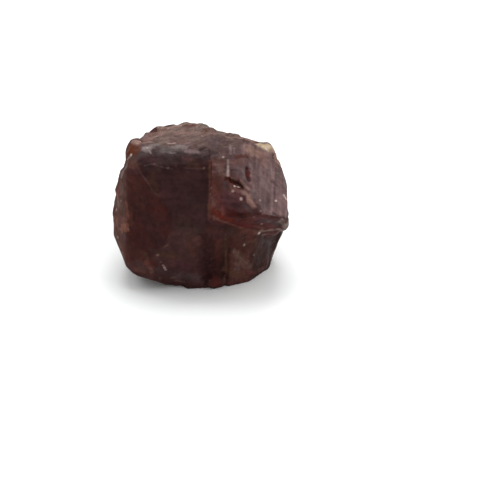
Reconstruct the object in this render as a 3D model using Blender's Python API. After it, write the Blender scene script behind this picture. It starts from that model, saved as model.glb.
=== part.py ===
"""A natural garnet crystal: a stubby, worn dodecahedral crystal with a raised growth block on one side.

Lengths here are in millimetres until the last step, which scales the mesh to metres.
A crystal face is given by the compass direction it looks to (azimuth: 0 is the front, 90 is +X),
by how far it looks up (elevation), and by its distance from the middle of the crystal.
"""

import math

import bmesh
import bpy
from mathutils import Matrix, Vector, noise

NODE_NAME = "garnet_crystal"
METRES_PER_MM = 0.001

# Driving dimensions.
CRYSTAL_WIDTH = 12.0
MIDDLE_HEIGHT = 4.6
ROUGH_BLANK = 30.0
LONGEST_EDGE = 0.62
WELD_DISTANCE = 0.02
EDGE_WEAR = 0.04
BREAK_RELIEF = 0.30
BREAK_FADE = 0.35
BREAK_GRAIN = 1.1
BREAK_SMOOTHNESS = 0.9
BREAK_GAP = 2.1
BREAK_OCTAVES = 4
EDGE_WEAR_GRAIN = 1.7
EDGE_WEAR_BIAS = 0.25
LUMP_SWELL = 0.35
LUMP_GRAIN = 1.4
LUMP_SUBDIVISIONS = 2
SPLIT_ROUNDS = 5
SHARP_EDGE = math.radians(12)
FLAT_PAIR = math.radians(1)

# The stone's look.
GARNET_COLOUR = (0.10, 0.025, 0.02, 1)
GARNET_ROUGHNESS = 0.35
GARNET_IOR = 1.78

# The main crystal's faces: azimuth and elevation in degrees, distance in millimetres.
UPPER_FRONT = (15, 40, 4.2)
LEFT_FRONT = (-32, 8, 5.2)
LOWER_FRONT = (5, -16, 4.5)
SHOULDER_STRIP = (18, 55, 4.5)
SHOULDER = (24, 69, 4.6)
TOP = (124, 84, 4.6)
BROKEN_TOP = (162, 78, 4.97)
LEFT_SHOULDER = (-47, 46, 6.65)
LEFT_SIDE = (-57, 6, 5.8)
LOWER_RIGHT_FRONT = (23, -12, 4.27)
RIGHT_FRONT = (35, -12, 4.22)
RIGHT_UPPER = (60, 47, 4.5)
BASE = (0, -90, MIDDLE_HEIGHT)
UPPER_LEFT_BACK = (-131, 49, 6.27)
UPPER_BACK = (-157, 58, 6.0)
BACK_BREAK = (148, -28, 5.3)
BACK = (176, 10, 5.2)
LEFT_BACK = (-125, -12, 5.5)
RIGHT_BACK = (118, -14, 5.5)
RIGHT_SIDE = (84, -22, 6.05)
SIDE_AND_BACK_FACES = [
    (-100, -6, 5.6), (-104, 17, 5.51), (-113, 34, 5.8), (-83, -23, 6.15), (-69, -42, 6.42),
    (-42, -59, 5.9), (45, -58, 6.25), RIGHT_SIDE, (97, 1, 5.55), (150, 56, 5.05),
    BACK, LEFT_BACK, RIGHT_BACK, (178, -42, 5.4), (175, 44, 5.3), (130, 22, 5.5),
    (-146, 24, 5.5), (-150, -30, 5.6), (-100, -48, 5.9), (100, -48, 5.9),
]
MAIN_FACES = [
    UPPER_FRONT, LEFT_FRONT, LOWER_FRONT, SHOULDER_STRIP, SHOULDER, TOP, BROKEN_TOP, LEFT_SHOULDER,
    LEFT_SIDE, LOWER_RIGHT_FRONT, RIGHT_FRONT, RIGHT_UPPER, BASE, UPPER_LEFT_BACK, UPPER_BACK, BACK_BREAK,
] + SIDE_AND_BACK_FACES

# The raised block's faces. It is thickest at its underside ledge and runs out towards the top.
BLOCK_FRONT = (16, 50, 4.72)
BLOCK_RIGHT = (63, 50, 4.9)
BLOCK_STEP = (-37, 32, 3.4)
BLOCK_UNDERSIDE = (9, -39, 3.0)
BLOCK_SHOULDER = (24, 69, 4.72)
BLOCK_TOP = (80, 84, 4.66)
BLOCK_FACES = [
    BLOCK_FRONT, BLOCK_RIGHT, BLOCK_STEP, BLOCK_UNDERSIDE, BLOCK_SHOULDER, BLOCK_TOP,
    (90, 0, 5.81), (98, 13, 5.9), (121, 36, 5.95), (152, 50, 5.1), (85, -43, 4.79),
    (170, 0, 1.5), (-80, 10, 0.35), (0, -90, 1.6),
]

# The step under the block's right half, with faces of its own to the right of LOWER_RIGHT_FRONT.
LOWER_STEP_FACES = [
    (23, -5.5, 4.25), (52, -8, 4.86), (-55, 0, 0.4), RIGHT_SIDE, BASE, (170, 0, 1.5), (-171, 39, -2.5),
]

# Thin growth layers: the face each lies on, its thickness, and its sides as (turn in the face, distance).
LAYERS = {
    "back_layer": (BACK, 0.16, [(90, 1.4), (158, 1.9), (236, 1.9), (270, 2.3), (308, 2.3), (26, 1.7)]),
    "back_upper_layer": (BACK, 0.30, [(90, 0.5), (158, 0.9), (236, 1.1), (308, 1.3), (26, 0.8)]),
    "left_back_layer": (LEFT_BACK, 0.14, [(222, 1.2), (0, 1.1), (48, 1.3), (119, 1.6), (292, 2.0)]),
    "right_back_layer": (RIGHT_BACK, 0.12, [(330, 0.8), (71, 1.5), (145, 1.0), (250, 1.7)]),
}
LAYER_ROOT = 0.6

# Faces that are broken or rough instead of grown flat.
ROUGH_FACES = [BROKEN_TOP, UPPER_LEFT_BACK, UPPER_BACK, BACK_BREAK]

# Lumps grown on the crystal and hollows broken out of it: middle, half sizes, the face each lies on,
# and its turn in that face in degrees.
LUMPS = {
    "orange_lump": ((-4.25, -0.85, 4.58), (0.62, 0.85, 0.62), LEFT_SHOULDER, 0),
    "top_lump": ((-0.7, 3.4, 3.95), (1.0, 0.6, 0.55), BROKEN_TOP, 0),
    "corner_crust": ((4.1, 0.85, 3.3), (1.15, 0.85, 0.4), RIGHT_UPPER, 0),
    "foot_lump": ((1.05, -3.27, -4.05), (0.75, 0.5, 0.35), LOWER_RIGHT_FRONT, 0),
    "side_knob": ((5.37, -2.5, 0.35), (0.62, 0.5, 0.5), BLOCK_RIGHT, 0),
}
HOLLOWS = {
    "ridge_notch": ((2.5, -3.05, 3.15), (0.75, 0.24, 0.36), BLOCK_FRONT, -38),
    "long_pit": ((3.2, -1.75, 3.5), (0.17, 0.45, 0.26), BLOCK_RIGHT, -56),
    "lower_chip": ((-3.3, -3.4, -4.4), (0.8, 0.6, 0.5), LOWER_FRONT, 0),
    "back_chip": ((-3.7, 4.0, 2.4), (1.3, 0.7, 0.4), UPPER_LEFT_BACK, 30),
    "left_chip": ((-5.75, -1.2, -1.9), (0.5, 0.6, 0.35), LEFT_SIDE, 0),
}


def face_normal(face):
    """The direction that a crystal face looks to."""
    around = math.radians(face[0])
    up = math.radians(face[1])
    return Vector((math.sin(around) * math.cos(up), -math.cos(around) * math.cos(up), math.sin(up)))


def face_frame(face):
    """A turn whose third axis looks out of a crystal face and whose first axis is level."""
    outward = face_normal(face)
    level = Vector((0, 0, 1)).cross(outward).normalized()
    return Matrix((level, outward.cross(level), outward)).transposed()


def mesh_from(shape, name):
    """Turn a bmesh into a mesh with its faces pointing out."""
    bmesh.ops.recalc_face_normals(shape, faces=shape.faces[:])
    mesh = bpy.data.meshes.new(name)
    shape.to_mesh(mesh)
    shape.free()
    return mesh


def cut_flat(shape, point, normal):
    """Cut away what lies outside a plane and close the cut with one flat face."""
    everything = shape.verts[:] + shape.edges[:] + shape.faces[:]
    cut = bmesh.ops.bisect_plane(
        shape, geom=everything, plane_co=point, plane_no=normal, clear_outer=True)
    rim = [item for item in cut["geom_cut"] if isinstance(item, bmesh.types.BMEdge)]
    if rim:
        bmesh.ops.contextual_create(shape, geom=rim)


def convex_mesh(name, faces):
    """A closed solid cut from a cube by one plane for each crystal face."""
    shape = bmesh.new()
    bmesh.ops.create_cube(shape, size=ROUGH_BLANK)
    for face in faces:
        cut_flat(shape, face_normal(face) * face[2], face_normal(face))
    bmesh.ops.remove_doubles(shape, verts=shape.verts[:], dist=WELD_DISTANCE)
    return mesh_from(shape, name)


def layer_mesh(name, face, thickness, sides):
    """A thin plate that stands a little proud of a crystal face."""
    outward = face_normal(face)
    frame = face_frame(face)
    shape = bmesh.new()
    bmesh.ops.create_cube(shape, size=ROUGH_BLANK)
    cuts = [(outward * (face[2] + thickness), outward), (outward * (face[2] - LAYER_ROOT), -outward)]
    for turn, distance in sides:
        aside = frame @ Vector((math.cos(math.radians(turn)), math.sin(math.radians(turn)), 0.0))
        cuts.append((outward * face[2] + aside * distance, aside))
    for point, normal in cuts:
        cut_flat(shape, point, normal)
    return mesh_from(shape, name)


def blob_mesh(name, middle, half_sizes, face, turn):
    """An uneven lump of the given half sizes, lying along a crystal face."""
    shape = bmesh.new()
    bmesh.ops.create_icosphere(shape, subdivisions=LUMP_SUBDIVISIONS, radius=1.0)
    place = face_frame(face) @ Matrix.Rotation(math.radians(turn), 3, "Z")
    for vert in shape.verts:
        swell = 1 + LUMP_SWELL * noise.noise(vert.co * LUMP_GRAIN + Vector(middle))
        local = Vector((vert.co[axis] * half_sizes[axis] * swell for axis in range(3)))
        vert.co = Vector(middle) + place @ local
    return mesh_from(shape, name)


def add_object(name, mesh):
    """Put a mesh in the scene as an object."""
    thing = bpy.data.objects.new(name, mesh)
    bpy.context.scene.collection.objects.link(thing)
    return thing


def combine(target, helper, operation):
    """Join a helper to the target, or cut it away, with an exact Boolean."""
    modifier = target.modifiers.new(helper.name, "BOOLEAN")
    modifier.operation = operation
    modifier.solver = "EXACT"
    modifier.object = helper
    helper.hide_render = True
    helper.display_type = "WIRE"


def fused_mesh():
    """The main crystal with its block and lumps joined on and its hollows cut away."""
    crystal = add_object("main_crystal", convex_mesh("main_crystal", MAIN_FACES))
    combine(crystal, add_object("raised_block", convex_mesh("raised_block", BLOCK_FACES)), "UNION")
    combine(crystal, add_object("lower_step", convex_mesh("lower_step", LOWER_STEP_FACES)), "UNION")
    for name, (face, thickness, sides) in LAYERS.items():
        combine(crystal, add_object(name, layer_mesh(name, face, thickness, sides)), "UNION")
    for blobs, operation in ((LUMPS, "UNION"), (HOLLOWS, "DIFFERENCE")):
        for name, placing in blobs.items():
            combine(crystal, add_object(name, blob_mesh(name, *placing)), operation)
    depsgraph = bpy.context.evaluated_depsgraph_get()
    mesh = bpy.data.meshes.new_from_object(crystal.evaluated_get(depsgraph))
    for thing in list(bpy.data.objects):
        bpy.data.objects.remove(thing)
    return mesh


def split_long_edges(shape):
    """Halve the long edges a few times over, then turn flat pairs of triangles to their better diagonal."""
    bmesh.ops.triangulate(shape, faces=shape.faces[:])
    for _ in range(SPLIT_ROUNDS):
        long_edges = [edge for edge in shape.edges if edge.calc_length() > LONGEST_EDGE]
        bmesh.ops.subdivide_edges(shape, edges=long_edges, cuts=1)
        bmesh.ops.triangulate(shape, faces=shape.faces[:])
        flat = [edge for edge in shape.edges if edge.is_manifold and edge.calc_face_angle() < FLAT_PAIR]
        bmesh.ops.beautify_fill(shape, faces=shape.faces[:], edges=flat)


def broken_share(point, face):
    """How much of a rough face's relief a point takes: all of it on the face, none well inside."""
    depth = face[2] - face_normal(face).dot(point)
    return max(0.0, 1.0 - max(0.0, depth) / BREAK_FADE)


def wear(shape):
    """Roughen the broken faces and nibble the sharp edges, but leave the base flat."""
    shape.normal_update()
    moves = {}
    for vert in shape.verts:
        move = Vector()
        for face in ROUGH_FACES:
            grain = noise.fractal(vert.co * BREAK_GRAIN, BREAK_SMOOTHNESS, BREAK_GAP, BREAK_OCTAVES)
            relief = (1 + grain) / 2
            move -= face_normal(face) * (BREAK_RELIEF * relief * broken_share(vert.co, face))
        sharp = any(edge.is_manifold and edge.is_convex and edge.calc_face_angle() > SHARP_EDGE
                    for edge in vert.link_edges)
        if sharp:
            nibble = max(0.0, noise.noise(vert.co * EDGE_WEAR_GRAIN) + EDGE_WEAR_BIAS)
            move -= vert.normal * (EDGE_WEAR * nibble)
        moves[vert] = move
    for vert, move in moves.items():
        on_base = vert.co.z < WELD_DISTANCE - MIDDLE_HEIGHT
        vert.co += move
        if on_base or vert.co.z < -MIDDLE_HEIGHT:
            vert.co.z = -MIDDLE_HEIGHT


def stand_on_origin(shape):
    """Scale the crystal to its width and put the middle of its base box at the origin, in metres."""
    lowest = Vector((min(vert.co[axis] for vert in shape.verts) for axis in range(3)))
    highest = Vector((max(vert.co[axis] for vert in shape.verts) for axis in range(3)))
    middle = (lowest + highest) / 2
    scale = CRYSTAL_WIDTH / (highest.x - lowest.x) * METRES_PER_MM
    for vert in shape.verts:
        vert.co = (vert.co - Vector((middle.x, middle.y, lowest.z))) * scale


def garnet_material():
    """Dark red-brown garnet that lets a little red light through."""
    material = bpy.data.materials.new("garnet")
    material.use_nodes = True
    shader = material.node_tree.nodes["Principled BSDF"]
    shader.inputs["Base Color"].default_value = GARNET_COLOUR
    shader.inputs["Roughness"].default_value = GARNET_ROUGHNESS
    shader.inputs["Metallic"].default_value = 0.0
    shader.inputs["IOR"].default_value = GARNET_IOR
    return material


def main():
    """Build the crystal as one closed solid."""
    for thing in list(bpy.data.objects):
        bpy.data.objects.remove(thing)
    shape = bmesh.new()
    shape.from_mesh(fused_mesh())
    bmesh.ops.remove_doubles(shape, verts=shape.verts[:], dist=WELD_DISTANCE)
    split_long_edges(shape)
    wear(shape)
    stand_on_origin(shape)
    crystal = add_object(NODE_NAME, mesh_from(shape, NODE_NAME))
    crystal.data.materials.append(garnet_material())


main()
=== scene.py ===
"""A garnet crystal on a pale floor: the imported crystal's solid with its fine relief and colour.

The piece is worked on in millimetres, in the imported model's frame, and scaled to metres at the end.
A direction is an azimuth and an elevation in degrees: azimuth 0 looks along -Y, to the camera, and 90
along +X. The place of a mark on the crystal is given as the pixel of the 500-pixel image in which the
camera sees it, counted to the right and down.
"""

import math
import random

import bmesh
import bpy
import numpy as np
from mathutils import Matrix, Vector, noise
from mathutils.bvhtree import BVHTree
from mathutils.kdtree import KDTree


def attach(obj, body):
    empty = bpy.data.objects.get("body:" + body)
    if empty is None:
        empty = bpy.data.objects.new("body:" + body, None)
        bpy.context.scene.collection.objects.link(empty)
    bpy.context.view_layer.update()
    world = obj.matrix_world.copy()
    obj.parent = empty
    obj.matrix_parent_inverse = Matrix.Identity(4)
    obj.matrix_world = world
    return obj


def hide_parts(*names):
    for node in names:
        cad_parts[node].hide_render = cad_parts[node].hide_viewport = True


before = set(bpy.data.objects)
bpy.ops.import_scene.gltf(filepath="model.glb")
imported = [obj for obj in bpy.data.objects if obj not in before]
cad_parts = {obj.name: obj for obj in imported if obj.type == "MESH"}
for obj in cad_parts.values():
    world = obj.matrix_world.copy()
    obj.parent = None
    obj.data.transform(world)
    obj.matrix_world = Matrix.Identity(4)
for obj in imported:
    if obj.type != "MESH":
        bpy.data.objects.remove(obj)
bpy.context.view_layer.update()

MM = 0.001
NODE = "garnet_crystal"
SEED = 11

# The fine mesh, in mm: how near points are welded, and the size of its cells
WELD = 0.0001
VOXEL = 0.079

# The camera: lens and sensor in mm, elevation in degrees; distance, the point that it looks at and
# clipping in metres
CAMERA_LENS = 150
CAMERA_SENSOR = 36
CAMERA_ELEVATION = 30
CAMERA_DISTANCE = 0.142
CAMERA_AIM = Vector((0.003355, -0.001758, 0.001754))
CAMERA_CLIP = (0.01, 5)
IMAGE_SIZE = 500

FLOOR_SIZE = 1.2
FLOOR_COLOUR = (0.950, 0.970, 0.962, 1)

# Soft lights: azimuth, elevation, distance, width and height in metres, power in watts
LIGHTS = {
    "above": (180, 66, 0.45, 0.26, 0.34, 1.25),
    "right": (90, 58, 0.45, 0.24, 0.24, 0.55),
    "left": (-90, 58, 0.45, 0.24, 0.24, 0.30),
    "back": (178, 22, 0.40, 0.50, 0.12, 0.05),
}
SURROUND_COLOUR = (1.0, 1.0, 1.0, 1)
SURROUND_STRENGTH = 0.60

# The middle of the crystal in the frame in mm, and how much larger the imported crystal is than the
# face distances below, which are close to those of its source
MIDDLE = np.array((0.041, -0.289, 4.618))
GROWTH = 1.0039

# Patterns of smooth noise: wavelength in mm, and a shift that keeps them apart
PATTERNS = {
    "edges": (1.3, 5.0),
    "swell": (1.7, 3.0),
    "grain": (0.45, 9.0),
    "fine grain": (0.22, 2.0),
    "break": (0.8, 6.0),
    "fine break": (0.33, 4.0),
    "cloud": (2.4, 31.0),
    "wear": (0.5, 8.0),
    "patchy": (0.20, 61.0),
    "fray x": (0.28, 1.0),
    "fray y": (0.28, 21.0),
    "fray z": (0.28, 41.0),
}

# Crystal faces: azimuth, elevation, distance from the middle in mm
FACES = {
    "upper_front": (15, 40, 4.2),
    "left_front": (-32, 8, 5.2),
    "lower_front": (5, -16, 4.5),
    "shoulder_strip": (18, 55, 4.5),
    "shoulder": (24, 69, 4.6),
    "top": (124, 84, 4.6),
    "broken_top": (162, 78, 4.9),
    "left_shoulder": (-47, 46, 6.65),
    "left_side": (-57, 6, 5.8),
    "lower_right_front": (23, -12, 4.27),
    "step_front": (23, -5.5, 4.25),
    "step_right": (52, -8, 4.86),
    "right_front": (35, -12, 4.22),
    "right_upper": (60, 47, 4.5),
    "block_front": (16, 50, 4.72),
    "block_right": (63, 50, 4.9),
    "block_step": (-37, 32, 3.4),
    "block_underside": (9, -39, 3.0),
    "block_shoulder": (24, 69, 4.72),
    "block_top": (80, 84, 4.66),
}
# A point belongs to a face if it lies within about this distance of its plane in mm, and if its
# normal turns less from the face's than the cosine says, fading in; it belongs to the body as far as
# its faces together come to less than the least weight
FACE_BLEND = 0.12
FACE_TURN = 0.80
FACE_TURN_FADE = 0.15
LEAST_WEIGHT = 0.25

# Linear colour, roughness and coarseness of each face
FACE_LOOKS = {
    "upper_front": ((0.032, 0.014, 0.014), 0.42, 0.3),
    "left_front": ((0.038, 0.011, 0.010), 0.45, 0.3),
    "lower_front": ((0.047, 0.020, 0.019), 0.45, 0.3),
    "shoulder_strip": ((0.017, 0.006, 0.006), 0.45, 0.5),
    # The shoulder's grey tone is painted sheen of the light above
    "shoulder": ((0.050, 0.036, 0.036), 0.40, 0.9),
    "top": ((0.142, 0.087, 0.074), 0.50, 1.2),
    "broken_top": ((0.205, 0.135, 0.110), 0.55, 1.5),
    "left_shoulder": ((0.092, 0.044, 0.034), 0.45, 0.8),
    "left_side": ((0.078, 0.027, 0.020), 0.45, 0.9),
    "lower_right_front": ((0.025, 0.008, 0.007), 0.50, 0.4),
    "step_front": ((0.080, 0.032, 0.026), 0.50, 1.0),
    "step_right": ((0.036, 0.014, 0.012), 0.50, 1.0),
    "right_front": ((0.026, 0.012, 0.009), 0.50, 1.0),
    "right_upper": ((0.235, 0.140, 0.115), 0.55, 1.2),
    "block_front": ((0.075, 0.030, 0.030), 0.38, 0.6),
    # The block's right face is lightened and greyed by painted sheen of the light at the right
    "block_right": ((0.138, 0.084, 0.083), 0.40, 0.6),
    "block_step": ((0.108, 0.040, 0.035), 0.45, 0.6),
    "block_underside": ((0.056, 0.014, 0.013), 0.45, 0.8),
    "block_shoulder": ((0.065, 0.033, 0.032), 0.42, 0.8),
    "block_top": ((0.050, 0.025, 0.024), 0.45, 1.2),
}

# The look of the rest of the crystal, and how strongly it clouds over with two other colours
BODY_LOOK = ((0.054, 0.021, 0.019), 0.48, 0.8)
CLOUD_STRENGTH = 1.2

# Fibres of a face: which way they run as the camera sees them (right, up), and how strong they are
FIBRES = {
    "block_right": ((0.06, 1.0), 0.60),
    "block_front": ((0.10, 1.0), 0.35),
    "block_top": ((0.05, 1.0), 0.60),
    "block_shoulder": ((0.05, 1.0), 0.60),
    "shoulder": ((1.0, 0.20), 1.50),
    "shoulder_strip": ((1.0, 0.0), 0.70),
    "top": ((1.0, 0.45), 0.60),
    "broken_top": ((1.0, 0.40), 0.70),
    "upper_front": ((1.0, 0.0), 0.20),
    "lower_front": ((0.0, 1.0), 0.20),
    "left_side": ((0.1, 1.0), 0.40),
    "right_front": ((0.4, 1.0), 0.60),
    "step_right": ((0.3, 1.0), 0.40),
    "step_front": ((0.2, 1.0), 0.40),
}

# The fibres' width, length and height in mm, and the least weight of a face at a point with fibres
FIBRE_PITCH = 0.16
FIBRE_LENGTH = 1.6
FIBRE_HEIGHT = 0.022
LEAST_FIBRE = 0.02

# Broad fibres: how much wider and longer than the fine ones, the shift of their noise, their share
BROAD_PITCH = 2.7
BROAD_LENGTH = 1.3
BROAD_SHIFT = 7.0
BROAD_SHARE = 0.8

# How strongly fibres darken and lighten the faces and then the marks, and between which limits
FIBRE_SHADE = 0.45
FIBRE_SHADE_LIMITS = (0.25, 2.5)
MARK_SHADE = 0.5 * FIBRE_SHADE
MARK_SHADE_LIMITS = (0.5, 1.6)

# Colours of the places that differ from their face
# Mostly painted glints of light
GLINT = (0.60, 0.48, 0.44)
# Pale specks, and painted gleams and glints
PALE = (0.36, 0.26, 0.245)
CREAM = (0.60, 0.46, 0.30)
BONE = (0.19, 0.145, 0.135)
PEACH = (0.28, 0.175, 0.145)
SALMON = (0.200, 0.115, 0.098)
# Painted orange glow of light shining through the crystal
APRICOT_GLOW = (0.175, 0.062, 0.040)
TERRACOTTA = (0.125, 0.044, 0.034)
BRICK = (0.105, 0.047, 0.039)
RUST = (0.088, 0.029, 0.022)
# Partly painted glow of light shining through the lump
AMBER = (0.082, 0.022, 0.009)
# Painted red glow of light shining through the crystal
EMBER_GLOW = (0.095, 0.011, 0.005)
CRIMSON = (0.074, 0.013, 0.012)
# Partly painted shade inside the pits
BLOOD = (0.045, 0.009, 0.008)
CHERRY = (0.090, 0.026, 0.027)
WINE = (0.058, 0.021, 0.023)
# Also painted shade under the ledge and the ridge and inside the small pit
MAROON = (0.034, 0.012, 0.013)
MAHOGANY = (0.052, 0.017, 0.013)
CHESTNUT = (0.067, 0.024, 0.017)
UMBER = (0.087, 0.040, 0.026)
OLIVE = (0.054, 0.026, 0.014)
FAWN = (0.115, 0.062, 0.051)
TAN = (0.148, 0.092, 0.073)
BEIGE = (0.150, 0.108, 0.092)
# Painted grey sheen and highlights
SHEEN_SILVER = (0.200, 0.163, 0.156)
STEEL = (0.104, 0.086, 0.080)
LILAC = (0.150, 0.102, 0.102)
MAUVE = (0.115, 0.075, 0.077)
HEATHER = (0.075, 0.046, 0.048)
SLATE = (0.053, 0.033, 0.032)
# Partly painted shade
ASH = (0.029, 0.017, 0.015)
# Mostly painted shade in clefts, folds and the hollow under the ledge
NIGHT = (0.018, 0.006, 0.006)
# Painted shade inside the long pit
PITCH = (0.033, 0.006, 0.002)

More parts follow.
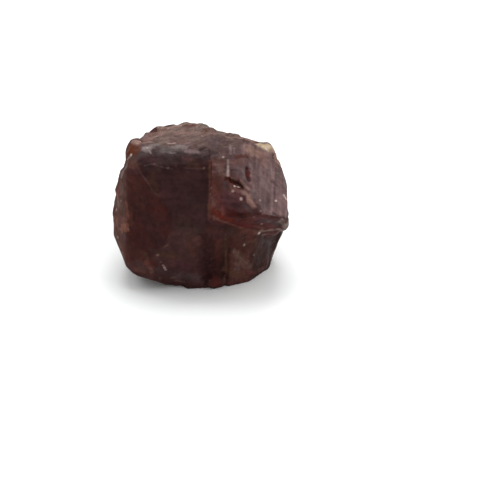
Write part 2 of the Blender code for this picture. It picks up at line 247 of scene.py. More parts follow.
# Soft strokes of colour: first and last pixel, half width in mm, colour, strength
STROKES = {
    # The orange lump and the left shoulder
    # The lump's orange is partly its own colour and partly painted glow of light shining through it
    "lump": ((131, 150), (136, 148), 0.38, AMBER, 0.95),
    "lump foot": ((131, 153), (134, 154), 0.20, AMBER, 0.80),
    "lump left rim": ((129, 145), (128, 151), 0.12, TERRACOTTA, 0.60),
    "lump brick": ((136, 145), (141, 144), 0.20, BRICK, 0.60),
    # Painted highlight on the lump's crown, painted shade at its right side, a painted gleam at its
    # foot
    "lump crown": ((134, 142), (141, 141), 0.20, PEACH, 0.80),
    "lump shade": ((143, 144), (141, 148), 0.14, HEATHER, 0.80),
    "lump gleam": ((127, 159), (131, 156), 0.06, PALE, 0.60),
    "below the lump": ((132, 159), (137, 158), 0.20, SLATE, 0.50),
    "shoulder end red": ((128, 166), (137, 167), 0.22, BRICK, 0.80),
    "shoulder end foot": ((129, 171), (139, 171), 0.18, WINE, 0.70),
    # Painted highlight along the upper left rim
    "left top rim": ((121, 177), (125, 165), 0.10, SHEEN_SILVER, 0.60),
    # The grey band along the shoulder: painted sheen and highlights, with painted shade in its hollow
    # and cleft
    "band left": ((145, 149), (150, 148), 0.24, SHEEN_SILVER, 0.95),
    "band left upper": ((150, 146), (158, 144), 0.17, SHEEN_SILVER, 0.80),
    "band upper": ((159, 143), (168, 141), 0.18, BEIGE, 0.60),
    "band middle": ((160, 148), (177, 149), 0.28, STEEL, 0.60),
    "band bright": ((173, 147), (177, 148), 0.11, SHEEN_SILVER, 0.60),
    "band right": ((178, 146), (186, 147), 0.20, SHEEN_SILVER, 0.60),
    "band slant": ((184, 145), (190, 142), 0.08, LILAC, 0.70),
    "band low slant": ((185, 148), (191, 145), 0.07, LILAC, 0.60),
    "band foot left": ((161, 151), (170, 152), 0.12, STEEL, 0.80),
    "band foot right": ((170, 153), (176, 153), 0.07, SHEEN_SILVER, 0.50),
    "band end": ((186, 151), (198, 152), 0.15, LILAC, 0.80),
    "band upper glint": ((168, 143), (175, 143), 0.055, PALE, 0.80),
    "band drip": ((149, 151), (151, 153), 0.06, PALE, 0.60),
    "band hollow": ((153, 151), (158, 149), 0.14, SLATE, 0.90),
    "band cleft": ((200, 150), (206, 147), 0.08, NIGHT, 0.80),
    "band cleft foot": ((200, 153), (206, 152), 0.14, SLATE, 0.70),
    "below the band": ((143, 157), (158, 157), 0.24, MAROON, 0.85),
    "below the band middle": ((160, 158), (178, 158), 0.30, NIGHT, 0.70),
    "below the band end": ((178, 157), (199, 158), 0.30, NIGHT, 0.70),
    "below the band wine": ((184, 158), (191, 159), 0.18, WINE, 0.60),
    "strip left": ((141, 160), (156, 160), 0.22, MAROON, 0.60),
    "strip grey": ((160, 162), (173, 162), 0.24, SLATE, 0.35),
    "strip olive": ((193, 163), (198, 166), 0.30, OLIVE, 0.50),
    "strip plum": ((200, 162), (207, 164), 0.25, MAROON, 0.80),
    # The broken top
    "top left peach": ((146, 139), (151, 138), 0.20, SALMON, 0.80),
    "top left rim": ((145, 142), (153, 142), 0.11, PEACH, 0.60),
    "top left mauve": ((142, 138), (146, 136), 0.13, LILAC, 0.60),
    "top left rose": ((152, 134), (158, 134), 0.20, TERRACOTTA, 0.45),
    "top left gleam": ((154, 137), (157, 136), 0.06, PALE, 0.60),
    "top brick": ((160, 130), (168, 129), 0.17, BRICK, 0.70),
    "top brick foot": ((160, 134), (167, 133), 0.20, TAN, 0.60),
    "top olive": ((170, 130), (176, 130), 0.22, BEIGE, 0.60),
    "top cream": ((177, 126), (184, 124), 0.15, PEACH, 0.70),
    "top red": ((187, 127), (195, 125), 0.24, RUST, 0.95),
    "top grey": ((187, 123), (197, 123), 0.09, HEATHER, 0.60),
    "top back tan": ((195, 131), (209, 128), 0.28, BEIGE, 0.60),
    "top pink": ((185, 131), (190, 135), 0.18, SALMON, 0.50),
    "top middle beige": ((158, 139), (167, 138), 0.18, BEIGE, 0.70),
    "top middle mauve": ((171, 136), (178, 137), 0.22, HEATHER, 0.70),
    "top middle olive": ((191, 140), (200, 138), 0.16, BEIGE, 0.70),
    "top right brown": ((206, 132), (215, 131), 0.16, UMBER, 0.70),
    "top right mauve": ((205, 139), (213, 142), 0.30, MAUVE, 0.60),
    "top right lilac": ((217, 131), (223, 133), 0.11, BONE, 0.60),
    "top wrinkle": ((199, 146), (204, 144), 0.07, LILAC, 0.70),
    "top nick": ((193, 136), (196, 136), 0.09, HEATHER, 0.60),
    # The front faces
    "edge line left": ((144, 166), (152, 164), 0.055, HEATHER, 0.60),
    "edge line middle": ((152, 164), (162, 167), 0.055, HEATHER, 0.60),
    "edge line right": ((162, 167), (172, 169), 0.050, HEATHER, 0.45),
    "edge line end": ((185, 168), (204, 169), 0.050, HEATHER, 0.35),
    "shade under the line": ((146, 169), (158, 169), 0.18, ASH, 0.70),
    "ridge line top": ((140, 172), (146, 180), 0.050, HEATHER, 0.65),
    "ridge line middle": ((146, 180), (152, 190), 0.050, HEATHER, 0.55),
    "ridge line foot": ((152, 190), (158, 196), 0.060, HEATHER, 0.45),
    "left red upper": ((128, 179), (139, 183), 0.30, MAHOGANY, 0.60),
    "left red": ((134, 186), (140, 206), 0.42, MAHOGANY, 0.55),
    "brown by the line": ((152, 178), (156, 193), 0.26, OLIVE, 0.35),
    "pale middle": ((160, 194), (168, 196), 0.28, WINE, 0.45),
    "red fold": ((148, 209), (165, 209), 0.16, BLOOD, 0.50),
    "middle maroon": ((148, 222), (160, 240), 0.50, MAROON, 0.50),
    "middle grey": ((178, 224), (198, 230), 0.45, ASH, 0.70),
    "right grey": ((192, 200), (200, 206), 0.35, ASH, 0.60),
    # Painted shade in the fold
    "dark fold": ((156, 245), (166, 242), 0.20, NIGHT, 0.45),
    "dark fold foot": ((150, 250), (157, 252), 0.18, ASH, 0.70),
    "fold fleck": ((164, 247), (168, 245), 0.05, FAWN, 0.70),
    "lower left": ((128, 246), (141, 258), 0.42, MAHOGANY, 0.70),
    "lower left grey": ((136, 263), (142, 266), 0.30, SLATE, 0.45),
    "lower left pink": ((136, 270), (144, 272), 0.14, BRICK, 0.50),
    # Painted red glow of light shining through the lower left of the crystal
    "glow top": ((146, 254), (147, 258), 0.15, OLIVE, 0.70),
    "glow": ((147, 262), (150, 268), 0.20, RUST, 0.90),
    "glow foot": ((150, 268), (152, 272), 0.14, BRICK, 0.95),
    "glow right": ((152, 262), (156, 265), 0.14, CRIMSON, 0.65),
    "glow left foot": ((143, 272), (150, 274), 0.11, CHESTNUT, 0.60),
    "grey by the glow": ((157, 268), (159, 272), 0.15, SLATE, 0.60),
    "lower plum": ((164, 272), (173, 273), 0.25, SLATE, 0.40),
    "lower brown": ((162, 254), (176, 256), 0.22, OLIVE, 0.60),
    "lower brown right": ((191, 243), (195, 255), 0.20, CHESTNUT, 0.60),
    "lower light": ((172, 263), (191, 266), 0.45, WINE, 0.60),
    "lower foot light": ((178, 276), (199, 277), 0.35, HEATHER, 0.60),
    "lower rim": ((163, 281), (175, 284), 0.13, MAROON, 0.70),
    "lower rim gleam": ((176, 281), (184, 282), 0.09, FAWN, 0.60),
    "lower dash": ((171, 278), (175, 277), 0.06, FAWN, 0.60),
    # Painted shade in the hollow under the block's ledge
    "dark front": ((204, 236), (206, 280), 0.30, NIGHT, 0.85),
    "dark front left": ((199, 250), (201, 268), 0.26, MAROON, 0.70),
    "dark front right": ((211, 240), (212, 275), 0.30, NIGHT, 0.75),
    "red front": ((218, 240), (219, 262), 0.26, BLOOD, 0.40),
    "foot red": ((214, 279), (219, 284), 0.22, CRIMSON, 0.60),
    # The left side
    "side upper red": ((121, 185), (121, 194), 0.26, BRICK, 0.80),
    "side upper rim": ((117, 195), (118, 189), 0.13, TERRACOTTA, 0.60),
    "side olive": ((122, 198), (122, 214), 0.22, OLIVE, 0.80),
    "side red edge": ((126, 203), (128, 215), 0.13, TERRACOTTA, 1.0),
    "side rust": ((131, 208), (131, 225), 0.15, CHESTNUT, 0.70),
    "side plum": ((117, 202), (117, 212), 0.13, RUST, 0.60),
    # Painted orange glow of light shining through the left side
    "side salmon": ((120, 219), (127, 219), 0.22, TERRACOTTA, 0.70),
    "side rim salmon": ((116, 217), (117, 224), 0.15, APRICOT_GLOW, 0.80),
    "side orange": ((122, 226), (127, 225), 0.15, APRICOT_GLOW, 0.90),
    "side orange foot": ((121, 230), (127, 229), 0.14, APRICOT_GLOW, 1.0),
    "side mauve": ((122, 236), (126, 237), 0.18, WINE, 0.70),
    "side brown": ((125, 242), (127, 250), 0.20, MAHOGANY, 0.80),
    "side low rim": ((115, 230), (119, 243), 0.10, FAWN, 0.60),
    "side low rim foot": ((119, 243), (124, 258), 0.10, FAWN, 0.50),
    "side foot rim": ((126, 262), (134, 270), 0.10, SLATE, 0.60),
    "side low red": ((130, 232), (134, 234), 0.18, BLOOD, 0.50),
    # The block's top
    "block corner": ((212, 135), (214, 144), 0.15, HEATHER, 0.60),
    "block plum streak": ((219, 135), (219, 143), 0.13, HEATHER, 0.80),
    "block saddle": ((214, 147), (223, 148), 0.26, SLATE, 0.80),
    "block dark saddle": ((224, 142), (230, 142), 0.20, SLATE, 0.90),
    "block tan rim": ((228, 137), (240, 138), 0.20, PEACH, 0.65),
    "block plum": ((235, 145), (239, 145), 0.17, HEATHER, 0.60),
    "pale streak": ((230, 145), (231, 154), 0.07, LILAC, 0.80),
    "second streak": ((234, 148), (234, 153), 0.055, LILAC, 0.80),
    "fold shade": ((199, 158), (209, 156), 0.14, NIGHT, 0.85),
    "fold edge": ((210, 161), (210, 167), 0.09, BRICK, 0.70),
    "fold grey": ((203, 153), (213, 152), 0.17, SLATE, 0.60),
    "lip mauve": ((212, 156), (220, 155), 0.10, HEATHER, 0.70),
    "lip red": ((211, 162), (222, 161), 0.22, CHESTNUT, 0.85),
    "lip pale": ((217, 165), (224, 165), 0.15, BRICK, 0.50),
    # The block's shoulder and the crust
    "shoulder salmon": ((247, 147), (253, 149), 0.24, PEACH, 0.50),
    "shoulder salmon foot": ((250, 151), (257, 154), 0.32, PEACH, 1.0),
    "shoulder red": ((236, 157), (246, 156), 0.15, RUST, 0.90),
    "shoulder red tail": ((246, 157), (250, 160), 0.11, BRICK, 0.60),
    "shoulder brick": ((232, 162), (244, 162), 0.22, BRICK, 0.60),
    "under the crust": ((258, 153), (266, 157), 0.24, SALMON, 0.80),
    "under the crust foot": ((262, 161), (267, 168), 0.18, SALMON, 0.70),
    "crust rim pale": ((266, 149), (270, 149), 0.10, CREAM, 0.60),
    "crust brown": ((248, 152), (268, 162), 0.42, UMBER, 0.35),
    "crust shade": ((255, 149), (262, 151), 0.11, TAN, 0.80),
    "crust": ((257, 144), (266, 148), 0.16, CREAM, 0.80),
    "crust rim": ((264, 147), (273, 151), 0.22, CREAM, 0.50),
    "crust end": ((271, 151), (275, 159), 0.17, PEACH, 0.80),
    "crust rust": ((272, 154), (273, 158), 0.06, TERRACOTTA, 0.70),
    "crust foot": ((276, 160), (277, 167), 0.12, SALMON, 0.60),
    # The block's right face
    "right pink": ((268, 160), (269, 172), 0.18, LILAC, 0.60),
    "right pale line": ((271, 163), (272, 178), 0.045, BONE, 0.60),
    "right light": ((261, 177), (266, 187), 0.28, LILAC, 0.60),
    "right olive": ((277, 172), (278, 177), 0.15, STEEL, 0.60),
    "right slate": ((272, 181), (276, 185), 0.15, HEATHER, 0.80),
    "right streak": ((274, 188), (275, 199), 0.09, HEATHER, 0.60),
    "right beige": ((280, 186), (283, 210), 0.18, MAUVE, 0.60),
    "right rim": ((284, 175), (286, 190), 0.08, BONE, 0.60),
    "right rim gleam": ((284, 195), (286, 199), 0.075, GLINT, 0.90),
    "grey by the small pit": ((243, 170), (244, 179), 0.11, STEEL, 0.60),
    "left of the small pit": ((238, 170), (240, 176), 0.20, HEATHER, 0.50),
    "small pit head": ((245, 167), (249, 168), 0.12, HEATHER, 0.70),
    # Painted shade inside the small pit
    "small pit": ((248, 170), (248, 176), 0.21, BLOOD, 1.0),
    "small pit foot": ((248, 177), (249, 180), 0.16, MAROON, 1.0),
    "low mauve": ((256, 197), (268, 206), 0.30, MAUVE, 0.50),
    # The ridge, the long pit and what lies beside them
    "ridge gleam top": ((228, 166), (228, 171), 0.07, PALE, 0.65),
    "ridge gleam": ((228, 171), (228, 176), 0.105, PALE, 1.0),
    "gleam upper": ((228, 160), (228, 166), 0.05, BONE, 0.70),
    "rose by the gleam": ((219, 168), (222, 175), 0.20, FAWN, 0.80),
    "riser top": ((210, 169), (211, 178), 0.17, UMBER, 0.70),
    "riser": ((212, 180), (213, 192), 0.20, RUST, 0.60),
    "riser salmon": ((211, 198), (214, 203), 0.18, FAWN, 0.60),
    "riser foot": ((209, 205), (210, 215), 0.12, UMBER, 0.70),
    "front wide": ((226, 184), (236, 202), 0.50, WINE, 0.85),
    "front low": ((224, 204), (246, 212), 0.30, WINE, 0.70),
    "front red": ((218, 178), (219, 192), 0.24, CHESTNUT, 0.80),
    "front crimson": ((216, 197), (223, 206), 0.28, CHERRY, 0.70),
    "front wine": ((226, 196), (233, 202), 0.30, WINE, 0.80),
    "front plum": ((234, 206), (243, 206), 0.20, MAROON, 0.70),
    "front grey": ((225, 180), (225, 188), 0.13, SLATE, 0.70),
    "front olive": ((229, 187), (231, 190), 0.15, OLIVE, 0.70),
    # Painted shade inside the long pit
    "pit head": ((226, 177), (230, 179), 0.08, PITCH, 0.80),
    "pit": ((228, 179), (236, 185), 0.20, PITCH, 0.95),
    "pit end": ((239, 188), (244, 191), 0.10, BLOOD, 0.95),
    # Painted highlight on the pit's upper lip
    "upper lip": ((232, 178), (237, 180), 0.07, TAN, 0.60),
    "upper lip foot": ((241, 181), (248, 189), 0.11, SALMON, 0.90),
    "lower lip": ((232, 189), (240, 191), 0.13, BRICK, 0.80),
    "ridge rose": ((243, 191), (250, 200), 0.20, SALMON, 0.75),
    "ridge rose foot": ((249, 201), (254, 207), 0.15, SALMON, 0.80),
    "grey by the rose": ((252, 190), (253, 197), 0.13, STEEL, 0.50),
    # Painted shade under the ridge
    "under the ridge": ((244, 205), (252, 212), 0.18, SLATE, 0.80),
    "dark under the ridge": ((254, 210), (259, 213), 0.17, MAROON, 0.70),
    # The ledge
    "ledge corner": ((209, 212), (212, 216), 0.11, UMBER, 0.70),
    # Painted red glow of light shining through the ledge
    "ledge glow left": ((213, 212), (220, 216), 0.26, EMBER_GLOW, 0.65),
    "ledge glow": ((221, 216), (230, 220), 0.26, EMBER_GLOW, 0.75),
    "ledge dark left": ((227, 210), (233, 212), 0.18, BLOOD, 0.80),
    "ledge deep": ((231, 214), (247, 219), 0.32, BLOOD, 0.95),
    "ledge dark": ((240, 214), (245, 216), 0.17, NIGHT, 0.60),
    "ledge red": ((234, 222), (250, 227), 0.18, CRIMSON, 0.80),
    # Painted orange glow along the ledge's lower edge
    "ledge edge left": ((209, 215), (217, 219), 0.09, BRICK, 0.80),
    "ledge edge middle": ((217, 219), (228, 223), 0.10, BRICK, 0.80),
    "ledge edge right": ((228, 223), (242, 228), 0.11, RUST, 0.85),
    "ledge brown": ((248, 215), (255, 222), 0.24, MAHOGANY, 0.70),
    "ledge plum": ((257, 218), (265, 222), 0.28, WINE, 0.80),
    "ledge plum light": ((266, 220), (271, 222), 0.18, HEATHER, 0.80),
    "ledge rust": ((254, 226), (262, 228), 0.13, RUST, 0.80),
    "low band left": ((254, 231), (258, 234), 0.14, BRICK, 0.70),
    "low band tan": ((261, 231), (272, 230), 0.16, TAN, 0.80),
    "low band rim": ((262, 235), (275, 234), 0.07, FAWN, 0.60),
    "knob": ((281, 221), (286, 226), 0.20, BEIGE, 0.70),
    "knob dark": ((274, 221), (279, 226), 0.17, ASH, 0.85),
    "knob curve": ((273, 213), (282, 218), 0.055, SLATE, 0.80),
    "knob gleam": ((282, 219), (287, 220), 0.07, BONE, 0.60),
    "knob foot": ((278, 229), (284, 230), 0.15, BEIGE, 0.80),
    "red below the ledge": ((245, 230), (252, 234), 0.25, RUST, 0.70),
    "red below the ledge foot": ((248, 236), (250, 239), 0.15, RUST, 0.60),
    # Painted shade under the ledge
    "plum below the ledge": ((211, 222), (222, 227), 0.24, MAROON, 0.70),
    # The lower right
    # Painted shade just under the ledge
    "lower plum top": ((210, 234), (222, 236), 0.22, MAROON, 0.70),
    "olive seam top": ((226, 238), (226, 249), 0.12, OLIVE, 0.60),
    "olive seam": ((226, 251), (226, 272), 0.10, UMBER, 0.60),
    "low brown": ((226, 268), (236, 272), 0.30, UMBER, 0.60),
    "rust seam": ((230, 256), (231, 270), 0.13, RUST, 0.80),
    "dark red": ((231, 240), (236, 248), 0.26, BLOOD, 0.50),
    "rose patch": ((234, 251), (238, 253), 0.15, FAWN, 0.70),
    "rose patch foot": ((236, 256), (241, 258), 0.14, FAWN, 0.80),
    "olive patch": ((241, 253), (243, 255), 0.12, UMBER, 0.80),
    "brown by the patch": ((240, 249), (246, 252), 0.12, MAHOGANY, 0.70),
    "low rose": ((234, 263), (238, 266), 0.14, FAWN, 0.60),
    "low pale": ((235, 269), (239, 269), 0.09, MAUVE, 0.70),
    "low mauve patch": ((243, 262), (250, 267), 0.24, FAWN, 0.60),
    "low olive": ((232, 274), (245, 276), 0.20, UMBER, 0.70),
    "tan dash": ((249, 242), (255, 242), 0.11, UMBER, 0.80),
    "tan dash left": ((246, 240), (248, 243), 0.09, UMBER, 0.60),
    "grey right": ((262, 241), (271, 243), 0.18, SLATE, 0.80),
    "plum right": ((266, 247), (271, 252), 0.20, SLATE, 0.50),
    "olive dark": ((253, 256), (260, 262), 0.26, ASH, 0.60),
    "right stripe": ((270, 257), (266, 268), 0.06, LILAC, 0.60),
    "right foot": ((258, 270), (264, 269), 0.13, FAWN, 0.50),
    "bottom red": ((249, 273), (256, 273), 0.11, CHERRY, 0.80),
    "seam foot": ((224, 279), (225, 276), 0.07, FAWN, 0.70),
    "seam foot dark": ((227, 277), (228, 279), 0.09, MAHOGANY, 0.80),
    "white fibre": ((163, 265), (166, 270), 0.055, PALE, 0.85),
    # A painted glint beside the band
    "white by the band": ((276, 235), (279, 234), 0.06, PALE, 0.90),
}

# Small spots: painted glints, pale specks and the small pit's painted shade; pixel, radius in mm,
# colour, strength
SPOTS = {
    "lump glint": ((131, 155), 0.075, GLINT, 0.95),
    "band glint": ((147, 148), 0.07, PALE, 0.80),
    "edge spot left": ((154, 164), 0.08, FAWN, 0.60),
    "edge spot middle": ((168, 168), 0.08, MAUVE, 0.80),
    "edge spot right": ((204, 168), 0.08, FAWN, 0.90),
    # Painted shade inside the small pit
    "small pit": ((248, 172), 0.17, BLOOD, 0.95),
    "small pit low": ((248, 176), 0.16, BLOOD, 0.90),
    # A painted glint on the top
    "top pale spot": ((180, 125), 0.13, CREAM, 0.90),
    "top pale speck": ((168, 128), 0.06, PALE, 0.70),
    "top right speck": ((202, 136), 0.07, PALE, 0.60),
    "saddle speck": ((223, 157), 0.07, PALE, 0.80),
    "riser speck upper": ((211, 188), 0.09, SALMON, 0.70),
    "riser speck lower": ((210, 194), 0.08, SALMON, 0.60),
    # Painted glints in and beside the long pit
    "pit glint": ((238, 187), 0.085, GLINT, 0.95),
    "pit glint left": ((235, 186), 0.065, GLINT, 0.80),
    "pit speck": ((233, 191), 0.085, PALE, 0.70),
    "ridge speck": ((241, 199), 0.10, PALE, 0.75),
    "crust white": ((266, 149), 0.09, GLINT, 0.90),
    "block speck left": ((260, 200), 0.065, PALE, 0.90),
    "block speck right": ((276, 201), 0.07, GLINT, 0.85),
    "ledge fleck": ((261, 211), 0.06, BONE, 0.70),
    "ledge speck": ((254, 217), 0.07, MAUVE, 0.80),
    # Painted glints by the ledge and on the band below it
    "ledge speck right": ((262, 224), 0.07, PALE, 0.80),
    "band white": ((259, 233), 0.09, GLINT, 0.75),
    "step speck": ((244, 245), 0.08, PALE, 0.80),
    "step speck right": ((254, 255), 0.075, BONE, 0.90),
    "side speck": ((121, 201), 0.08, SALMON, 0.70),
    "side white": ((115, 210), 0.08, PALE, 0.80),
    "side low white": ((118, 237), 0.08, PALE, 0.70),
    "side orange speck": ((128, 228), 0.07, SALMON, 0.60),
    "front dust top": ((158, 255), 0.09, TAN, 0.80),
    "front dust": ((161, 262), 0.07, TAN, 0.80),
    "front low fleck": ((160, 278), 0.07, FAWN, 0.70),
}

# Distance in pixels between the places that a stroke is laid through, how far it fades out as a
# share of its half width, and what stands in for a squared length of 0, which a spot's stroke has
STROKE_STEP = 6
FADE_REACH = 1.5
TINY = 1e-9

# How far the edges of marks wander: at most and for each squared mm of half width in strokes, and
# as a share of the radius in spots; then how patchy strokes are
STROKE_FRAY = 0.25
STROKE_FRAY_SHARE = 4.0
SPOT_FRAY = 0.5
PATCHINESS = 0.6
LEAST_PATCH = 0.5

# Small raised and sunk places: first and last pixel, half width and height in mm
SWELLS = {
    "top right step": ((203, 127), (210, 128), 0.38, 0.22),
    "top left dip": ((152, 129), (157, 128), 0.42, -0.34),
    "left rim dip": ((113, 196), (113, 203), 0.55, -0.16),
    "below the lump": ((123, 157), (123, 163), 0.40, -0.16),
    "front foot": ((192, 285), (224, 284), 0.45, 0.24),
    "left foot": ((174, 286), (177, 286), 0.40, -0.12),
    "notch beside the step": ((220, 132), (223, 133), 0.20, -0.10),
    "block rim": ((230, 135), (236, 136), 0.26, 0.12),
    "notch before the crust": ((246, 141), (248, 142), 0.20, -0.12),
    "crust": ((257, 144), (266, 147), 0.22, 0.06),
    "crust notch": ((256, 143), (257, 143), 0.14, -0.08),
    "crust rim": ((268, 146), (274, 153), 0.32, 0.17),
    "knob": ((286, 222), (286, 229), 0.32, 0.12),
    "below the knob": ((281, 240), (277, 250), 0.80, -0.16),
    "knob curve": ((273, 213), (282, 218), 0.10, -0.06),
    "ridge rose": ((244, 194), (254, 206), 0.14, 0.06),
    "upper lip": ((240, 182), (248, 191), 0.12, 0.04),
    "small pit": ((248, 170), (248, 179), 0.20, -0.05),
    "band left": ((146, 149), (150, 148), 0.22, 0.05),
    "band hollow": ((153, 151), (158, 149), 0.16, -0.05),
    "band cleft": ((200, 150), (206, 147), 0.10, -0.07),
    "left of the top": ((141, 139), (143, 140), 0.25, -0.12),
    "top left bump": ((147, 134), (149, 134), 0.20, 0.07),
}

# Places where the edges are worn much rounder: first and last pixel, half width in mm
WORN = {
    "ledge right": ((258, 219), (284, 224), 0.75),
    "ledge under": ((262, 231), (284, 230), 0.55),
    "block foot": ((232, 213), (262, 215), 0.35),
    "right corner": ((287, 214), (287, 230), 0.60),
    "lower corner": ((276, 236), (270, 256), 0.40),
}
WORN_ROUNDS = 30

# How all edges are rounded: rounds of softening, how far a full share draws a point towards its
# neighbours in each, and the share, which differs from place to place by the swing
EDGE_ROUNDS = 5
SOFTENING = 0.6
EDGE_SHARE = 0.45
EDGE_SWING = 0.9
LEAST_EDGE_SHARE = 0.1

# How the worn, convex edges lighten: fully at this depth of wear in mm, unevenly by the swing
WEAR_DEPTH = 0.030
WEAR_SHARE = 0.6
WEAR_SWING = 1.5
WEAR_STRENGTH = 0.30
WEAR_COLOUR = (0.115, 0.065, 0.058)

# Fine dust over the whole crystal: radius in mm, strength, and how steeply a speck fades
DUST_COUNT = 500
DUST_COLOUR = (0.25, 0.175, 0.155)
DUST_RADIUS = (0.05, 0.09)
DUST_STRENGTH = (0.05, 0.45)
DUST_FADE = 1.6

# Every colour above is lowered by the veil that the sheen lays over it, and darkened for the bright
# studio
VEIL = np.array((0.000, 0.002, 0.002))
COLOUR_SCALE = 0.90
LEAST_TINT = 0.0012

# Relief heights in mm, and the share of the finer patterns; a face is broken if it is coarser than
# the break coarseness, by the whole height if it is coarser by the fade
SWELL_HEIGHT = 0.020
GRAIN_HEIGHT = 0.016
BREAK_HEIGHT = 0.060
FINE_SHARE = 0.6
BREAK_COARSENESS = 0.8
BREAK_FADE = 0.6

# Small worn pits: radius in mm, depth as a share of the radius, and how steeply the sides fall
PIT_COUNT = 90
PIT_RADIUS = (0.10, 0.28)
PIT_DEPTH = 0.22
PIT_SHAPE = 0.8

# The material's own textures: wavelength in mm, detail and distortion of a noise; then the stretch
# of that noise that is used, and the values that it gives
TEXTURES = {
    "clouds": ((1.5, 4.0, 0.6), (0.35, 0.65, 0.82, 1.18)),
    "mottle": ((0.35, 3.0, 0.3), (0.35, 0.65, 0.82, 1.18)),
    "specks": ((0.11, 1.0, 0.0), (0.66, 0.74, 0.0, 0.6)),
    "shine": ((0.6, 3.0, 0.0), (0.3, 0.7, -0.10, 0.12)),
}

# The refractive index, the shader's low specular level for a worn surface, and how far pale specks
# and fine bumps (noise as above, height in mm) come out: coarseness from and to, share from and to
GARNET_IOR = 1.78
SHEEN = 0.024
SPECK_BY_COARSENESS = (0.3, 1.2, 0.05, 1.0)
SPECK_LIGHTNESS = 3.2
BUMP_NOISE = (0.10, 4.0)
BUMP_BY_COARSENESS = (0.2, 1.4, 0.25, 1.0)
BUMP_HEIGHT = 0.02


def direction(azimuth, elevation):
    """The unit vector of a direction."""
    turn, rise = math.radians(azimuth), math.radians(elevation)
    level = math.cos(rise)
    return np.array((math.sin(turn) * level, -math.cos(turn) * level, math.sin(rise)))


# The camera's directions in the frame, and its place in mm
TO_CAMERA = direction(0, CAMERA_ELEVATION)
VIEW_RIGHT = np.array((1.0, 0.0, 0.0))
VIEW_UP = np.cross(TO_CAMERA, VIEW_RIGHT)
EYE = np.array(CAMERA_AIM) / MM + TO_CAMERA * CAMERA_DISTANCE / MM


def scale_matrix(factor):
    """A plain scaling about the origin."""
    return Matrix.Diagonal((factor, factor, factor, 1))


def remeshed_crystal():
    """A fine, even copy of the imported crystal, in millimetres."""
    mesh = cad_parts[NODE].data.copy()
    mesh.transform(scale_matrix(1 / MM))
    welded = bmesh.new()
    welded.from_mesh(mesh)
    bmesh.ops.remove_doubles(welded, verts=welded.verts[:], dist=WELD)
    welded.to_mesh(mesh)
    welded.free()
    piece = bpy.data.objects.new("garnet", mesh)
    bpy.context.scene.collection.objects.link(piece)
    remesh = piece.modifiers.new("even", "REMESH")
    remesh.mode = "VOXEL"
    remesh.voxel_size = VOXEL
    bpy.context.view_layer.update()
    graph = bpy.context.evaluated_depsgraph_get()
    even = bpy.data.meshes.new_from_object(piece.evaluated_get(graph))
    piece.modifiers.clear()
    piece.data = even
    return piece


def points_of(mesh):
    """The mesh's points and normals as arrays."""
    points = np.zeros(len(mesh.vertices) * 3)
    normals = np.zeros(len(mesh.vertices) * 3)
    mesh.vertices.foreach_get("co", points)
    mesh.vertices.foreach_get("normal", normals)
    return points.reshape(-1, 3), normals.reshape(-1, 3)


def set_points(mesh, points):
    """Moves the mesh's points, but keeps those of the base on the floor."""
    points[:, 2] = np.maximum(points[:, 2], 0)
    mesh.vertices.foreach_set("co", points.ravel())
    mesh.update()


def noise_at(places):
    """Smooth noise from -1 to 1 at each place, with bumps about one unit across."""
    return np.array([noise.noise(Vector(place)) for place in places])


def grain(points, pattern):
    """The noise of one pattern at each point."""
    wavelength, shift = PATTERNS[pattern]
    return noise_at(points / wavelength + shift)


def softened(points, ends, share, rounds):
    """The points drawn towards their neighbours, each by its own share, round after round."""
    count = np.bincount(ends.ravel(), minlength=len(points))[:, None]
    for _ in range(rounds):
        total = np.zeros_like(points)
        for axis in range(3):
            total[:, axis] += np.bincount(ends[:, 0], points[ends[:, 1], axis], len(points))
            total[:, axis] += np.bincount(ends[:, 1], points[ends[:, 0], axis], len(points))
        points = points + (total / count - points) * share[:, None] * SOFTENING
    return points


def rounded_edges(mesh):
    """Softens the edges, more in some places than in others, and returns how far each point sank."""
    before, normals = points_of(mesh)
    ends = np.zeros(len(mesh.edges) * 2, dtype=np.int32)
    mesh.edges.foreach_get("vertices", ends)
    ends = ends.reshape(-1, 2)
    share = np.clip(EDGE_SHARE + EDGE_SWING * grain(before, "edges"), LEAST_EDGE_SHARE, 1.0)
    points = softened(before, ends, share, EDGE_ROUNDS)
    sunk = np.sum((before - points) * normals, axis=1)
    target = ray_target(mesh, before)
    worn = np.zeros(len(points))
    for start, end, radius in WORN.values():
        worn = np.maximum(worn, nearness(before, draped(target, start, end), radius))
    set_points(mesh, softened(points, ends, worn, WORN_ROUNDS))
    return sunk


def face_weights(points, normals):
    """How much each point belongs to each named face, and to none of them."""
    weights = {}
    for name, (azimuth, elevation, distance) in FACES.items():
        normal = direction(azimuth, elevation)
        away = np.abs((points - MIDDLE) @ normal - distance * GROWTH)
        facing = np.clip((normals @ normal - FACE_TURN) / FACE_TURN_FADE, 0, 1)
        weights[name] = np.exp(-((away / FACE_BLEND) ** 2)) * facing
    total = sum(weights.values())
    weights["body"] = np.clip(LEAST_WEIGHT - total, 0, 1)
    total = total + weights["body"]
    return {name: weight / total for name, weight in weights.items()}


def fibre_noise(points, name, course):
    """Long, thin ridges that run along a face in the direction seen by the camera."""
    outward = direction(*FACES[name][:2])
    along = VIEW_RIGHT * course[0] + VIEW_UP * course[1]
    along = along - TO_CAMERA * (along @ outward) / (TO_CAMERA @ outward)
    along /= np.linalg.norm(along)
    across = np.cross(along, outward)
    sideways = points @ across / FIBRE_PITCH
    onwards = points @ along / FIBRE_LENGTH
    fine = np.stack([sideways, onwards, points @ outward], axis=1)
    level = np.full(len(points), BROAD_SHIFT)
    broad = np.stack([sideways / BROAD_PITCH, onwards / BROAD_LENGTH, level], axis=1)
    return noise_at(fine) + BROAD_SHARE * noise_at(broad)


